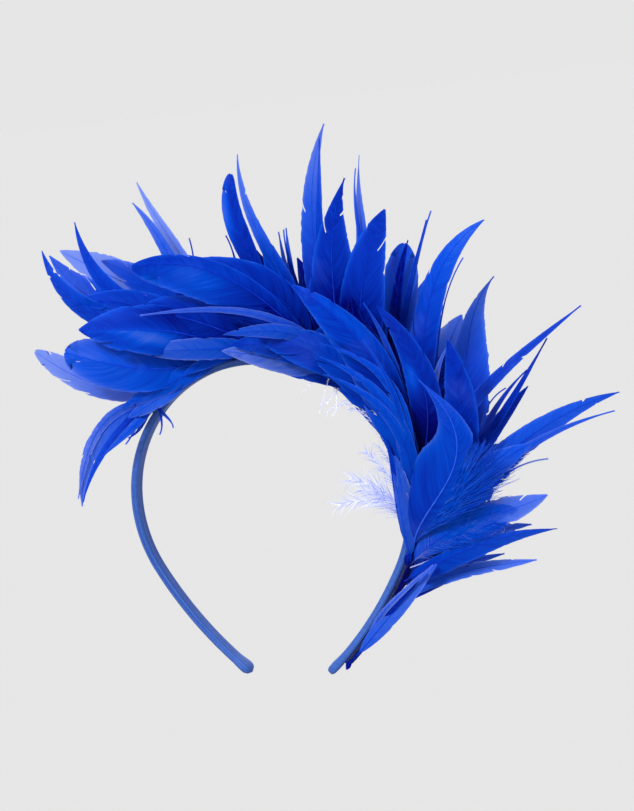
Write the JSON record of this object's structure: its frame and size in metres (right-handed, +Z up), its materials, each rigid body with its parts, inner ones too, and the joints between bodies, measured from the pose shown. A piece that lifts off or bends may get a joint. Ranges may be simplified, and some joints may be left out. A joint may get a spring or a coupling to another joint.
{
  "type": "feather fascinator headband",
  "caption": "Slim satin-covered headband with overlapping rows of long dyed feathers that sweep from the left shoulder over the crown and down the right arm.",
  "frame": {"origin": "the underside of the band's crown, in the middle of its width, where the band sits on the head", "axes": "+Z up, +X to the viewer's right along the loop, where most feathers are, -Y toward the viewer; the loop lies in the XZ plane and is symmetrical about X = 0"},
  "size_m": [0.2698, 0.0758, 0.2451],
  "materials": {
    "satin": "blue polyester satin wrapped tightly round the band, soft sheen",
    "felt": "very dark blue felt, stiffened with glue",
    "feather": "royal blue dyed goose and rooster feather, silky vanes with pale midribs"
  },
  "bodies": {
    "root": {"headband": "satin", "felt_backing": "felt", "back_feathers": "feather", "middle_feathers": "feather", "front_feathers": "feather"}
  },
  "joints": []
}
